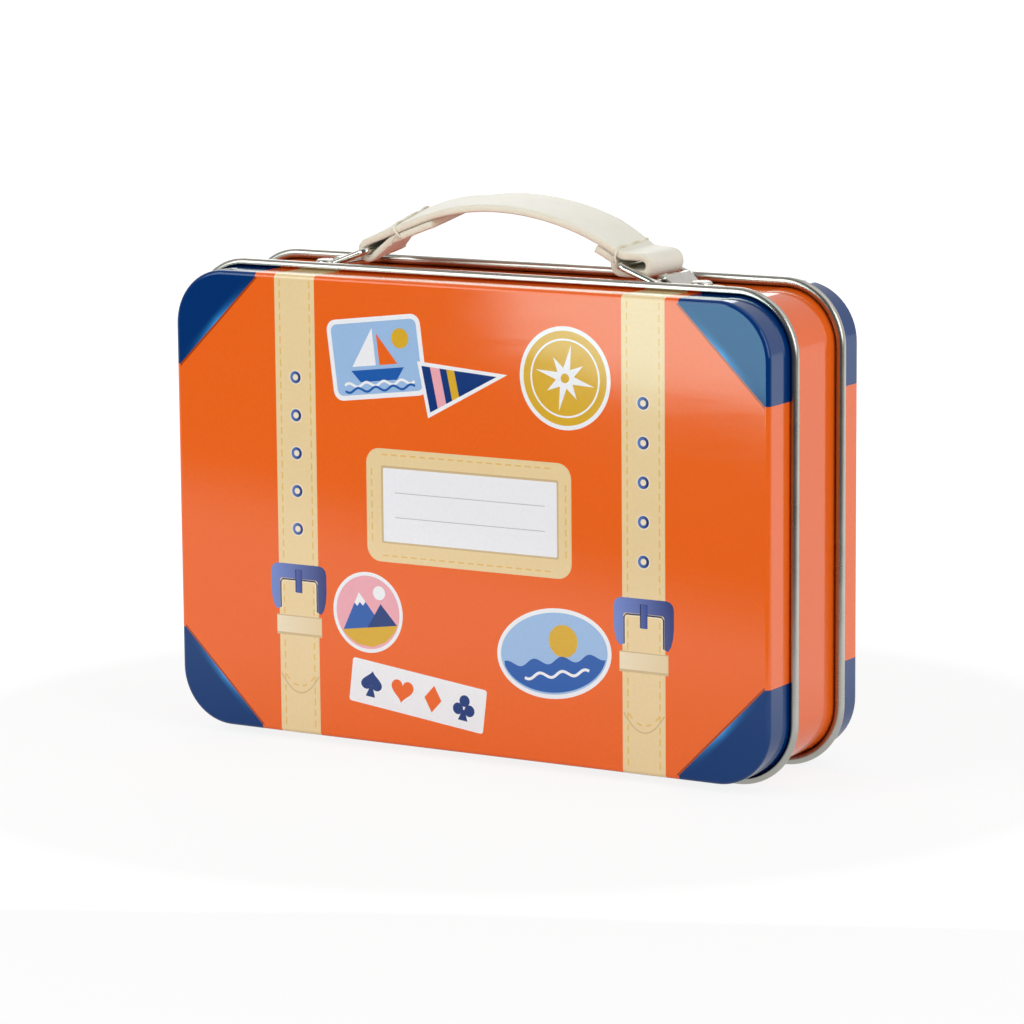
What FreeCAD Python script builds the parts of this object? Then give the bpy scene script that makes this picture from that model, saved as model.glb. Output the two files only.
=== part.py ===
# Suitcase-shaped tinplate box for two decks of playing cards, with a stitched strap handle.
# Millimetres. X runs along the width, Y from the lid to the back, Z up from the surface it stands on.
import FreeCAD, Part
import math
import os
import re
import Sketcher
from FreeCAD import Vector

SIZES = {
    # Two decks of cards, side by side, and the room left around them
    "card_width": 63,
    "card_height": 88,
    "card_corner": 3.5,
    "deck_thickness": 16.2,
    "deck_gap": 1,
    "deck_rest_gap": 0.1,
    "side_room": 6.65,
    "head_room": 8.3,
    # Drawn covers and the band between them
    "sheet_gauge": 0.3,
    "slip_gap": 0.25,
    "corner_radius": 12,
    "face_round": 1,
    "cover_depth": 9.4,
    "curl_radius": 1,
    "curl_turn": 280,
    "channel_width": 18.6,
    "rim_curl_radius": 0.8,
    "band_front_gap": 0.3,
    "band_back_gap": 0.2,
    "seam_lap": 5,
    # Brackets and their rivets
    "rivet_place_ratio": 0.638,
    "bracket_reach": 6.3,
    "bracket_gauge": 0.6,
    "bracket_width": 10.8,
    "bracket_bend": 0.8,
    "bracket_roll_turn": 290,
    "tip_reach": 5,
    "tip_radius": 3.4,
    "rivet_head": 4.6,
    "rivet_head_height": 1.1,
    "rivet_head_round": 0.8,
    "rivet_head_gap": 0.3,
    "rivet_shank": 2.4,
    "rivet_tail": 3.8,
    "rivet_tail_height": 0.7,
    "rivet_hole_gap": 0.05,
    "washer_diameter": 6,
    "washer_gauge": 0.5,
    # Wire loops that hang in the brackets
    "pivot_rise": 1,
    "hinge_gap": 0.08,
    "loop_wire": 1.5,
    "loop_reach": 9.2,
    "loop_bend": 1.2,
    "loop_rest_angle": 21,
    "loop_swing": 26,
    "loop_side_gap": 0.2,
    "channel_gap": 0.6,
    # Strap, folded round a loop at each end and sewn back on itself
    "strap_gauge": 1.6,
    "arch_rise_ratio": 0.3898,
    "arch_bow_ratio": 1.4,
    "eye_gap": 0.2,
    "layer_gap": 0.12,
    "left_eye_reach": 6.5,
    "left_neck_bend": 3,
    "left_flap": 10.5,
    "right_neck_offset": 0.9,
    "right_neck_bend": 3,
    "right_flap_bend": 1.2,
    "right_flap": 4,
}

DERIVED = {
    "wall_stack": "2 * sheet_gauge + slip_gap",
    "shell_width": "2 * card_width + deck_gap + 2 * side_room + 2 * wall_stack",
    "shell_height": "card_height + head_room + 2 * wall_stack",
    "curl_offset": "curl_radius - sheet_gauge",
    "curl_stand": "curl_radius + curl_offset",
    "case_depth": "channel_width + 2 * (cover_depth + curl_radius)",
    "mid_height": "curl_stand + shell_height / 2",
    "cover_top": "curl_stand + shell_height",
    "band_width": "shell_width - 2 * (sheet_gauge + slip_gap)",
    "band_height": "shell_height - 2 * (sheet_gauge + slip_gap)",
    "band_radius": "corner_radius - sheet_gauge - slip_gap",
    "band_top": "cover_top - sheet_gauge - slip_gap",
    "band_front": "sheet_gauge + band_front_gap + rim_curl_radius - case_depth / 2",
    "band_back": "case_depth / 2 - sheet_gauge - band_back_gap",
    "band_floor": "curl_stand + wall_stack",
    "bore_radius": "band_radius - sheet_gauge",
    "corner_room": "bore_radius - card_corner",
    "deck_overhang": "max(0; bore_radius - card_corner - side_room)",
    "deck_rest": "corner_room - sqrt((corner_room - deck_rest_gap) ^ 2 - deck_overhang ^ 2)",
    "rivet_place": "rivet_place_ratio * shell_width / 2",
    "pivot_place": "rivet_place - bracket_reach",
    "pivot_height": "cover_top + pivot_rise",
    "arch_rise": "arch_rise_ratio * pivot_place",
    "strap_width": "channel_width - 2 * (channel_gap + loop_wire + loop_side_gap)",
    "loop_width": "strap_width + 2 * loop_side_gap + loop_wire",
}

doc = FreeCAD.newDocument("card_tin")
sheet = doc.addObject("Spreadsheet::Sheet", "Sizes")
for row, (alias, value) in enumerate(SIZES.items(), start=1):
    sheet.set(f"A{row}", alias)
    sheet.set(f"B{row}", str(value))
    sheet.setAlias(f"B{row}", alias)
doc.recompute()


def formula(text):
    """Spell a size out in the sheet's own cells, so that an expression can hold it."""

    def spell(match):
        word = match.group(0)
        if word in DERIVED:
            return "(" + formula(DERIVED[word]) + ")"
        return "Sizes." + word if word in SIZES else word

    return re.sub(r"[a-z_]+", spell, text)


def size(text):
    """The present value of a size or of a formula of sizes."""
    return float(sheet.evalExpression(formula(text)))


def new_body(label):
    body = doc.addObject("PartDesign::Body", label)
    body.Label = label
    return body


def new_sketch(body, name, role, **offset):
    """A sketch on one of the body's own planes, moved by formulas along the sketch's own axes."""
    sketch = body.newObject("Sketcher::SketchObject", name)
    plane = next(item for item in body.Origin.OriginFeatures if item.Role == role)
    sketch.AttachmentSupport = (plane, [""])
    sketch.MapMode = "FlatFace"
    for axis, text in offset.items():
        sketch.setExpression(f"AttachmentOffset.Base.{axis}", formula(text))
    return sketch


def bind(sketch, constraint, name, text):
    """Add a named constraint whose value follows a formula."""
    index = sketch.addConstraint(constraint)
    sketch.renameConstraint(index, name)
    sketch.setExpression(f"Constraints.{name}", formula(text))


def draw_circle(sketch, name, diameter):
    """A circle about the sketch's origin."""
    centre = Vector(0, 0, 0)
    index = sketch.addGeometry(Part.Circle(centre, Vector(0, 0, 1), size(diameter) / 2))
    sketch.addConstraint(Sketcher.Constraint("Coincident", index, 3, -1, 1))
    bind(sketch, Sketcher.Constraint("Diameter", index, size(diameter)), name, diameter)


def draw_rectangle(sketch, width, height):
    """Four lines about the sketch's origin."""
    half_width = size(width) / 2
    half_height = size(height) / 2
    corners = [Vector(x * half_width, y * half_height, 0) for x, y in ((-1, -1), (1, -1), (1, 1), (-1, 1))]
    for index in range(4):
        sketch.addGeometry(Part.LineSegment(corners[index], corners[(index + 1) % 4]))
    for index in range(4):
        sketch.addConstraint(Sketcher.Constraint("Coincident", index, 2, (index + 1) % 4, 1))
        sketch.addConstraint(Sketcher.Constraint("Vertical" if index % 2 else "Horizontal", index))
    sketch.addConstraint(Sketcher.Constraint("Symmetric", 0, 1, 2, 1, -1, 1))
    bind(sketch, Sketcher.Constraint("DistanceX", 0, 1, 0, 2, 2 * half_width), "across", width)
    bind(sketch, Sketcher.Constraint("DistanceY", 1, 1, 1, 2, 2 * half_height), "upright", height)


def draw_rounded_rectangle(sketch, width, height, radius):
    """Four lines and four tangent corner arcs about the sketch's origin."""
    half_width = size(width) / 2
    half_height = size(height) / 2
    bend = size(radius)
    inner_x = half_width - bend
    inner_y = half_height - bend
    corners = ((1, 1, 0), (1, -1, 270), (-1, -1, 180), (-1, 1, 90))
    sides = (
        ((-inner_x, half_height), (inner_x, half_height)),
        ((half_width, inner_y), (half_width, -inner_y)),
        ((inner_x, -half_height), (-inner_x, -half_height)),
        ((-half_width, -inner_y), (-half_width, inner_y)),
    )
    for start, end in sides:
        sketch.addGeometry(Part.LineSegment(Vector(*start, 0), Vector(*end, 0)))
    for sign_x, sign_y, angle in corners:
        circle = Part.Circle(Vector(sign_x * inner_x, sign_y * inner_y, 0), Vector(0, 0, 1), bend)
        sketch.addGeometry(Part.ArcOfCircle(circle, math.radians(angle), math.radians(angle + 90)))
    joins = ((4, 1, 1, 1), (4, 2, 0, 2), (5, 1, 2, 1), (5, 2, 1, 2))
    joins += ((6, 1, 3, 1), (6, 2, 2, 2), (7, 1, 0, 1), (7, 2, 3, 2))
    for join in joins:
        sketch.addConstraint(Sketcher.Constraint("Tangent", *join))
    for line, direction in ((0, "Horizontal"), (1, "Vertical"), (2, "Horizontal"), (3, "Vertical")):
        sketch.addConstraint(Sketcher.Constraint(direction, line))
    for arc in (5, 6, 7):
        sketch.addConstraint(Sketcher.Constraint("Equal", 4, arc))
    sketch.addConstraint(Sketcher.Constraint("Symmetric", 4, 3, 6, 3, -1, 1))
    bind(sketch, Sketcher.Constraint("Radius", 4, bend), "corner", radius)
    bind(sketch, Sketcher.Constraint("DistanceX", 3, 1, 1, 2, 2 * half_width), "across", width)
    bind(sketch, Sketcher.Constraint("DistanceY", 2, 2, 0, 1, 2 * half_height), "upright", height)


def draw_curl(sketch, radius, start, turn):
    """A sheet rolled about the sketch's origin: a ring sector from start through turn, in degrees."""
    outer = size(radius)
    inner = outer - size("sheet_gauge")
    first = math.radians(min(start, start + turn))
    last = math.radians(max(start, start + turn))
    axis = Vector(0, 0, 1)
    for reach in (outer, inner):
        circle = Part.Circle(Vector(0, 0, 0), axis, reach)
        sketch.addGeometry(Part.ArcOfCircle(circle, first, last))
    for angle in (first, last):
        ray = Vector(math.cos(angle), math.sin(angle), 0)
        sketch.addGeometry(Part.LineSegment(ray * inner, ray * outer))


def add_pad(body, sketch, name, length, backwards=False, symmetric=False):
    pad = body.newObject("PartDesign::Pad", name)
    pad.Profile = sketch
    pad.setExpression("Length", formula(length))
    pad.Reversed = backwards
    if symmetric:
        pad.SideType = "Symmetric"
    doc.recompute()
    return pad


def add_pocket(body, sketch, name, length, backwards=False, symmetric=False):
    """A cut that has to take something away."""
    before = body.Shape.Volume
    pocket = body.newObject("PartDesign::Pocket", name)
    pocket.Profile = sketch
    pocket.setExpression("Length", formula(length))
    pocket.Reversed = backwards
    if symmetric:
        pocket.SideType = "Symmetric"
    doc.recompute()
    if pocket.Shape.Volume > before * (1 - 1e-9):
        raise RuntimeError(f"{body.Label}: {name} cuts nothing")
    return pocket


def add_fillet(body, base, name, radius, chosen):
    """Round the edges of base that the test chosen picks."""
    names = [f"Edge{index}" for index, edge in enumerate(base.Shape.Edges, start=1) if chosen(edge)]
    fillet = body.newObject("PartDesign::Fillet", name)
    fillet.Base = (base, names)
    fillet.setExpression("Radius", formula(radius))
    doc.recompute()
    return fillet


def add_pipe(body, profile, spine, name):
    """Carry a profile along every edge of a closed spine sketch."""
    pipe = body.newObject("PartDesign::AdditivePipe", name)
    pipe.Profile = profile
    pipe.Spine = (spine, [f"Edge{index + 1}" for index in range(len(spine.Shape.Edges))])
    doc.recompute()
    return pipe


def in_plane(depth):
    """A test for edges that lie wholly at one depth along Y."""
    return lambda edge: max(abs(edge.BoundBox.YMin - depth), abs(edge.BoundBox.YMax - depth)) < 1e-4


def make_cover(label, side):
    """A drawn cover: flat face, rounded edge, short wall and a rim rolled outwards.

    side is -1 for the lid at the front and 1 for the cover at the back.
    """
    body = new_body(label)
    face = f"{-side} * case_depth / 2"
    rim = f"{-side} * (case_depth / 2 - cover_depth)"
    outline = new_sketch(body, label + "_outline", "XZ_Plane", y="mid_height", z=face)
    draw_rounded_rectangle(outline, "shell_width", "shell_height", "corner_radius")
    block = add_pad(body, outline, label + "_block", "cover_depth", backwards=side < 0)
    face_depth = side * size("case_depth") / 2
    add_fillet(body, block, label + "_edge", "face_round", in_plane(face_depth))

    inside = f"{-side} * (case_depth / 2 - sheet_gauge)"
    hollow = new_sketch(body, label + "_hollow", "XZ_Plane", y="mid_height", z=inside)
    inner = ("shell_width - 2 * sheet_gauge", "shell_height - 2 * sheet_gauge")
    draw_rounded_rectangle(hollow, *inner, "corner_radius - sheet_gauge")
    cavity = add_pocket(body, hollow, label + "_cavity", "cover_depth", backwards=side > 0)
    floor_depth = side * (size("case_depth") / 2 - size("sheet_gauge"))
    add_fillet(body, cavity, label + "_inner_edge", "face_round - sheet_gauge", in_plane(floor_depth))

    spine = new_sketch(body, label + "_curl_path", "XZ_Plane", y="mid_height", z=rim)
    around = ("shell_width + 2 * curl_offset", "shell_height + 2 * curl_offset")
    draw_rounded_rectangle(spine, *around, "corner_radius + curl_offset")
    centre = {"x": f"{side} * (case_depth / 2 - cover_depth)", "y": "cover_top + curl_offset"}
    centre["z"] = "shell_width / 2 - corner_radius"
    roll = new_sketch(body, label + "_curl_profile", "YZ_Plane", **centre)
    draw_curl(roll, "curl_radius", -90, -side * size("curl_turn"))
    doc.recompute()
    add_pipe(body, roll, spine, label + "_curl")
    return body


def make_band():
    """The strip that joins the covers: a welded tube with a safe edge rolled in at the front."""
    body = new_body("body_band")
    outline = new_sketch(body, "band_outline", "XZ_Plane", y="mid_height", z="-(band_front)")
    draw_rounded_rectangle(outline, "band_width", "band_height", "band_radius")
    add_pad(body, outline, "band_block", "band_back - (band_front)", backwards=True)
    hollow = new_sketch(body, "band_hollow", "XZ_Plane", y="mid_height", z="-(band_front)")
    inner = ("band_width - 2 * sheet_gauge", "band_height - 2 * sheet_gauge")
    draw_rounded_rectangle(hollow, *inner, "band_radius - sheet_gauge")
    add_pocket(body, hollow, "band_bore", "case_depth")

    spine = new_sketch(body, "rim_path", "XZ_Plane", y="mid_height", z="-(band_front)")
    around = ("band_width - 2 * rim_curl_radius", "band_height - 2 * rim_curl_radius")
    draw_rounded_rectangle(spine, *around, "band_radius - rim_curl_radius")
    centre = {"x": "band_front", "y": "band_top - rim_curl_radius"}
    centre["z"] = "band_width / 2 - band_radius"
    roll = new_sketch(body, "rim_profile", "YZ_Plane", **centre)
    draw_curl(roll, "rim_curl_radius", 90, size("curl_turn"))
    doc.recompute()
    add_pipe(body, roll, spine, "rim_curl")

    wall = {"x": "(band_front + band_back) / 2", "y": "mid_height", "z": "sheet_gauge - band_width / 2"}
    lap = new_sketch(body, "seam_outline", "YZ_Plane", **wall)
    draw_rectangle(lap, "band_back - (band_front)", "seam_lap")
    add_pad(body, lap, "lap_seam", "sheet_gauge")

    for side, word in ((-1, "left"), (1, "right")):
        hole = new_sketch(body, word + "_hole", "XY_Plane", x=f"{side} * rivet_place", z="band_top")
        draw_circle(hole, "bore", "rivet_shank + 2 * rivet_hole_gap")
        add_pocket(body, hole, word + "_rivet_hole", "band_radius")
    return body


def make_deck(label, side):
    """A stack of cards against the back, standing where its outer corner meets the band's rounded one."""
    body = new_body(label)
    place = {"x": f"{side} * (deck_gap + card_width) / 2", "y": "band_floor + deck_rest + card_height / 2"}
    place["z"] = "-(case_depth / 2 - sheet_gauge - deck_rest_gap)"
    card = new_sketch(body, label + "_card", "XZ_Plane", **place)
    draw_rounded_rectangle(card, "card_width", "card_height", "card_corner")
    add_pad(body, card, label + "_stack", "deck_thickness")
    return body


def make_rivet(label, side):
    """A button-headed rivet through bracket, band and washer, with its tail spread inside."""
    body = new_body(label)
    grip = "sheet_gauge + washer_gauge"
    head = new_sketch(body, label + "_head", "XY_Plane", z="bracket_gauge")
    draw_circle(head, "head", "rivet_head")
    button = add_pad(body, head, label + "_button", "rivet_head_height")
    crown = size("bracket_gauge + rivet_head_height")
    at_crown = lambda edge: edge.BoundBox.ZMin > crown - 1e-4
    add_fillet(body, button, label + "_crown", "rivet_head_round", at_crown)
    shank = new_sketch(body, label + "_shank", "XY_Plane", z="bracket_gauge")
    draw_circle(shank, "shank", "rivet_shank")
    add_pad(body, shank, label + "_stem", f"bracket_gauge + {grip}", backwards=True)
    tail = new_sketch(body, label + "_tail", "XY_Plane", z=f"-({grip})")
    draw_circle(tail, "tail", "rivet_tail")
    add_pad(body, tail, label + "_upset", "rivet_tail_height", backwards=True)
    body.setExpression("Placement.Base.x", formula(f"{side} * rivet_place"))
    body.setExpression("Placement.Base.z", formula("band_top"))
    return body


def make_washer(label, side):
    """The plain washer that spreads the rivet's pull inside the band."""
    body = new_body(label)
    ring = new_sketch(body, label + "_ring", "XY_Plane")
    draw_circle(ring, "rim", "washer_diameter")
    draw_circle(ring, "bore", "rivet_shank + 2 * rivet_hole_gap")
    add_pad(body, ring, label + "_plate", "washer_gauge", backwards=True)
    body.setExpression("Placement.Base.x", formula(f"{side} * rivet_place"))
    body.setExpression("Placement.Base.z", formula("band_top - sheet_gauge"))
    return body


def make_loop(label, side):
    """A rectangle of round wire, drawn flat from its hinge bar at X 0 and then tilted to rest."""
    body = new_body(label)
    spine = new_sketch(body, label + "_path", "XY_Plane", x="loop_reach / 2")
    draw_rounded_rectangle(spine, "loop_reach", "loop_width", "loop_bend")
    start = {"x": "loop_width / 2", "z": "loop_reach - loop_bend"}
    wire = new_sketch(body, label + "_section", "YZ_Plane", **start)
    draw_circle(wire, "wire", "loop_wire")
    doc.recompute()
    add_pipe(body, wire, spine, label + "_wire")
    tilt = "-loop_rest_angle" if side < 0 else "loop_rest_angle - 180"
    body.Placement = FreeCAD.Placement(Vector(0, 0, 0), FreeCAD.Rotation(Vector(0, 1, 0), size(tilt)))
    body.setExpression("Placement.Base.x", formula(f"{side} * pivot_place"))
    body.setExpression("Placement.Base.z", formula("pivot_height"))
    body.setExpression("Placement.Rotation.Angle", formula(tilt))
    return body


def ray(degrees, length=1.0):
    """A vector of the XZ profile plane, at an angle from X."""
    return Vector(math.cos(math.radians(degrees)), math.sin(math.radians(degrees)), 0) * length


def bearing(vector):
    """The angle of a profile vector from X, in degrees."""
    return math.degrees(math.atan2(vector.y, vector.x))


def cross_tangent(over, over_radius, under, under_radius, turn):
    """The angle of the normal of the line that runs over one circle and under the other."""
    apart = under - over
    return bearing(apart) + turn * math.degrees(math.acos((over_radius + under_radius) / apart.Length))


def draw_strip(sketch, path, gauge, mirrored=False):
    """Outline a bent strip: its centre path, moved half a gauge to each side, and its two cut ends.

    A path is a list of ("line", start, end) and ("arc", centre, radius, first angle, last angle).
    """
    flip = -1 if mirrored else 1

    def place(point):
        return Vector(flip * point.x, point.y, 0)

    def shifted_ends(piece, shift):
        if piece[0] == "line":
            along = (piece[2] - piece[1]).normalize()
            aside = Vector(-along.y, along.x, 0) * shift
            return piece[1] + aside, piece[2] + aside
        _, centre, radius, first, last = piece
        reach = radius - shift if last > first else radius + shift
        return centre + ray(first, reach), centre + ray(last, reach)

    for shift in (gauge / 2, -gauge / 2):
        for piece in path:
            start, end = shifted_ends(piece, shift)
            if piece[0] == "line":
                sketch.addGeometry(Part.LineSegment(place(start), place(end)))
                continue
            _, centre, radius, first, last = piece
            reach = radius - shift if last > first else radius + shift
            middle = centre + ray((first + last) / 2, reach)
            sketch.addGeometry(Part.Arc(place(start), place(middle), place(end)))
    for piece, which in ((path[0], 0), (path[-1], 1)):
        left = shifted_ends(piece, gauge / 2)[which]
        right = shifted_ends(piece, -gauge / 2)[which]
        sketch.addGeometry(Part.LineSegment(place(left), place(right)))


def bracket_path():
    """Side view of the right bracket: flat under the rivet, bent up, then rolled over the loop's bar."""
    bar = Vector(size("pivot_place"), size("pivot_height"), 0)
    roll = size("loop_wire / 2 + hinge_gap + bracket_gauge / 2")
    flat = size("band_top + bracket_gauge / 2")
    tip = Vector(size("rivet_place + tip_reach"), flat, 0)
    bend = size("bracket_bend")
    bend_start = Vector(size("rivet_place - rivet_head / 2 - rivet_head_gap"), flat, 0)
    bend_centre = bend_start + Vector(0, bend, 0)
    normal = cross_tangent(bar, roll, bend_centre, bend, 1)
    return [
        ("line", tip, bend_start),
        ("arc", bend_centre, bend, 270, normal + 180),
        ("line", bend_centre - ray(normal, bend), bar + ray(normal, roll)),
        ("arc", bar, roll, normal, normal + size("bracket_roll_turn")),
    ]


def make_bracket(label, side):
    """A stamped tongue with a rolled hinge, tapered in plan to a round end past the rivet."""
    body = new_body(label)
    profile = new_sketch(body, label + "_bend", "XZ_Plane")
    draw_strip(profile, bracket_path(), size("bracket_gauge"), mirrored=side < 0)
    add_pad(body, profile, label + "_strip", "bracket_width", symmetric=True)

    half = size("bracket_width") / 2
    hinge_end = size("pivot_place - loop_wire - bracket_gauge")
    taper_start = Vector(size("pivot_place + loop_wire"), half, 0)
    tip_radius = size("tip_radius")
    tip_centre = Vector(size("rivet_place + tip_reach - tip_radius"), 0, 0)
    to_taper = taper_start - tip_centre
    touch = bearing(to_taper) - math.degrees(math.acos(tip_radius / to_taper.Length))
    upper = [Vector(hinge_end, half, 0), taper_start, tip_centre + ray(touch, tip_radius)]
    lower = [Vector(point.x, -point.y, 0) for point in upper]
    far = size("rivet_place + 2 * tip_reach")
    frame = [Vector(hinge_end, 2 * half, 0), Vector(far, 2 * half, 0)]
    frame += [Vector(far, -2 * half, 0), Vector(hinge_end, -2 * half, 0)]

    def place(point):
        return Vector(side * point.x, point.y, 0)

    waste = new_sketch(body, label + "_trim", "XY_Plane", z="band_top")
    corners = upper[::-1] + frame + lower
    for start, end in zip(corners, corners[1:]):
        waste.addGeometry(Part.LineSegment(place(start), place(end)))
    nose = tip_centre + Vector(tip_radius, 0, 0)
    waste.addGeometry(Part.Arc(place(upper[2]), place(nose), place(lower[2])))
    clear_of_roll = "4 * (pivot_rise + loop_wire + 2 * bracket_gauge)"
    add_pocket(body, waste, label + "_outline", clear_of_roll, symmetric=True)

    hole = new_sketch(body, label + "_hole", "XY_Plane", x=f"{side} * rivet_place", z="band_top")
    draw_circle(hole, "bore", "rivet_shank + 2 * rivet_hole_gap")
    add_pocket(body, hole, label + "_bore", "2 * bracket_gauge", backwards=True)
    return body


def strap_path():
    """Side view of the strap, from the cut end of the left flap to the cut end of the right one.

    Each end folds round the bar of a loop. The left fold sits tight on its bar, and the right eye is
    a level slot, as long as the two bars draw apart when the loops swing up.
    """
    rest = size("loop_rest_angle")
    lifted = rest + size("loop_swing")
    reach = size("loop_reach")
    bar_x = size("pivot_place") - ray(rest, reach).x
    bar_z = size("pivot_height") + ray(rest, reach).y
    travel = 2 * (ray(rest, reach).x - ray(lifted, reach).x)
    fold = size("loop_wire / 2 + eye_gap + strap_gauge / 2")
    layer = size("strap_gauge + layer_gap")
    crown = size("cover_top + arch_rise - strap_gauge / 2")

    left_bar = Vector(-bar_x, bar_z, 0)
    slope = size("arch_bow_ratio") * math.degrees(math.atan2(crown - bar_z - fold, bar_x))
    up = ray(90 + slope)
    along = ray(slope)
    drop = 1 - along.x
    left_radius = (along.y * bar_x + along.x * (bar_z - crown) + fold) / drop
    left_centre = Vector(0, crown - left_radius, 0)
    shoulder = left_centre + up * left_radius
    neck = left_bar + up * (fold - layer) + along * size("left_eye_reach")
    neck_bend = size("left_neck_bend")
    neck_centre = neck - up * neck_bend
    lower = cross_tangent(neck_centre, neck_bend, left_bar, fold, -1)
    flap_start = shoulder - up * layer
    straight = (flap_start - neck).Length
    flap_turn = math.degrees((size("left_flap") - straight) / (left_radius - layer))
    if flap_turn > 0:
        flap = [("arc", left_centre, left_radius - layer, 90 + slope - flap_turn, 90 + slope)]
    else:
        flap = []
        flap_start = neck + along * size("left_flap")
    left = flap + [
        ("line", flap_start, neck),
        ("arc", neck_centre, neck_bend, 90 + slope, lower),
        ("line", neck_centre + ray(lower, neck_bend), left_bar - ray(lower, fold)),
        ("arc", left_bar, fold, lower + 180, 90 + slope),
        ("line", left_bar + up * fold, shoulder),
        ("arc", left_centre, left_radius, 90 + slope, 90),
    ]

    right_bar = Vector(bar_x, bar_z, 0)
    tip = right_bar + Vector(travel, 0, 0)
    level = Vector(0, fold, 0)
    dip = size("right_neck_bend")
    dip_x = bar_x + size("right_neck_offset")
    fall = crown - bar_z - fold - dip
    right_radius = (dip_x ** 2 + fall ** 2 - dip ** 2) / (2 * (dip + fall))
    right_centre = Vector(0, crown - right_radius, 0)
    dip_centre = Vector(dip_x, bar_z + fold + dip, 0)
    dip_angle = bearing(dip_centre - right_centre)
    tuck = size("right_flap_bend")
    flap_radius = right_radius - layer
    to_bar = right_bar - right_centre
    side_a = flap_radius - tuck
    side_b = fold + tuck
    lean = math.acos((side_a ** 2 + to_bar.Length ** 2 - side_b ** 2) / (2 * side_a * to_bar.Length))
    tuck_angle = bearing(to_bar) + math.degrees(lean)
    tuck_centre = right_centre + ray(tuck_angle, side_a)
    round_bar = bearing(tuck_centre - right_bar) % 360
    right_turn = math.degrees(size("right_flap") / flap_radius)
    right = [
        ("arc", right_centre, right_radius, 90, dip_angle),
        ("arc", dip_centre, dip, dip_angle + 180, 270),
        ("line", dip_centre - Vector(0, dip, 0), tip + level),
        ("arc", tip, fold, 90, -90),
        ("line", tip - level, right_bar - level),
        ("arc", right_bar, fold, 270, round_bar),
        ("arc", tuck_centre, tuck, round_bar - 180, tuck_angle),
        ("arc", right_centre, flap_radius, tuck_angle, tuck_angle + right_turn),
    ]
    return left + right


def make_strap():
    """The handle: one flat strap, arched over the loops and folded back under itself at both ends."""
    body = new_body("handle_strap")
    profile = new_sketch(body, "strap_side", "XZ_Plane")
    draw_strip(profile, strap_path(), size("strap_gauge"))
    add_pad(body, profile, "strap_band", "strap_width", symmetric=True)
    return body


nodes = [make_cover("front_lid", -1), make_band(), make_cover("back_cover", 1), make_strap()]
for side, word in ((-1, "left"), (1, "right")):
    nodes.append(make_deck(word + "_card_deck", side))
    nodes.append(make_bracket(word + "_bracket", side))
    nodes.append(make_rivet(word + "_rivet", side))
    nodes.append(make_washer(word + "_rivet_washer", side))
    nodes.append(make_loop(word + "_wire_loop", side))

doc.recompute()
failed = [item.Name for item in doc.Objects if {"Invalid", "Error"} & set(item.State)]
if failed:
    raise RuntimeError("not built: " + ", ".join(failed))
for node in nodes:
    if node.Shape.isNull() or not node.Shape.isValid():
        raise RuntimeError("bad shape: " + node.Label)
os.makedirs("parts", exist_ok=True)
for node in nodes:
    node.Shape.exportStep(f"parts/{node.Label}.step")
    print(f"{node.Label}: {len(node.Shape.Solids)} solid, {node.Shape.Volume:.1f} mm3")
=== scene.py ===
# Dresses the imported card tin: printed covers, sewn strap, plated fittings, cards, and a white table.
# Lengths of the object are millimetres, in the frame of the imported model, and MM turns them into metres.
# The shading of the floor, the lights and the camera are placed in metres.
import math
from itertools import chain

import bpy
import numpy as np
from mathutils import Matrix, Vector
from mathutils.geometry import delaunay_2d_cdt


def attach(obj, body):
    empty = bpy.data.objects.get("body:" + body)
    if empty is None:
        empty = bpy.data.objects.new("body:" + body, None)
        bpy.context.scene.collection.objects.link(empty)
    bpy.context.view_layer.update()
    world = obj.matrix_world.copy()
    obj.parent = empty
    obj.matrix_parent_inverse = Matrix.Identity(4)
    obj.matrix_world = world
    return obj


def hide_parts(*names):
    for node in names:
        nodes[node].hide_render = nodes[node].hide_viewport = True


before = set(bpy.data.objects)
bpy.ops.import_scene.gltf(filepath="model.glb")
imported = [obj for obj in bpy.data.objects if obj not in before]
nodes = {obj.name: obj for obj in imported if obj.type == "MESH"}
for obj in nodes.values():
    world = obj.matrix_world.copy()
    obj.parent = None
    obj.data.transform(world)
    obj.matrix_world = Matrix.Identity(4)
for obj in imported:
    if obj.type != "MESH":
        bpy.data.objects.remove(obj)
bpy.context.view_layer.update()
MM = 0.001

# Drawn covers
HALF_WIDTH = 71.0
HALF_HEIGHT = 49.0
MID_HEIGHT = 50.7
COVER_TOP = MID_HEIGHT + HALF_HEIGHT
CORNER = 12.0
FACE_Y = 19.7
FACE_ROUND = 1.0
GAUGE = 0.3
WALL_DEPTH = 9.4
CURL_RADIUS = 1.0
CURL_TURN = math.radians(280)

# Printed straps and corner patches, the same on both covers
STRAP_CENTRES = (-40.7, 42.5)
STRAP_HALF = 4.95
STRAP_EDGES = [centre + side * STRAP_HALF for centre in STRAP_CENTRES for side in (-1, 1)]
PATCH_X = 50.5
PATCH_Z = 28.5

# Wire loops: pivot, reach from the pivot to the bar, and angles at rest and at full swing
PIVOT = (38.998, 100.7)
LOOP_REACH = 9.2
LOOP_REST = 21.0
LOOP_SWING = 26.0

# Strap handle: section, spacing of its layers, and the runs and bends of its side view
STRAP_WIDTH = 14.0
STRAP_GAUGE = 1.6
LAYER = 1.72
FOLD = 1.75
CROWN_RATIO = 0.3898
SLOPE_RATIO = 1.4
NECK_RUN = 6.5
NECK_BEND = 3.0
LEFT_FLAP = 10.5
DIP_BEND = 3.0
DIP_PAST_BAR = 0.9
TUCK_BEND = 1.2
RIGHT_FLAP = 4.0

# How far the soft strap leans: places along X and degrees there
LEAN = ((-33, 2.5), (-28, 12.5), (-19, 11.0), (-8, 5.5), (23, 5.5), (31, 1.5), (36, 0.0))

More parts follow.
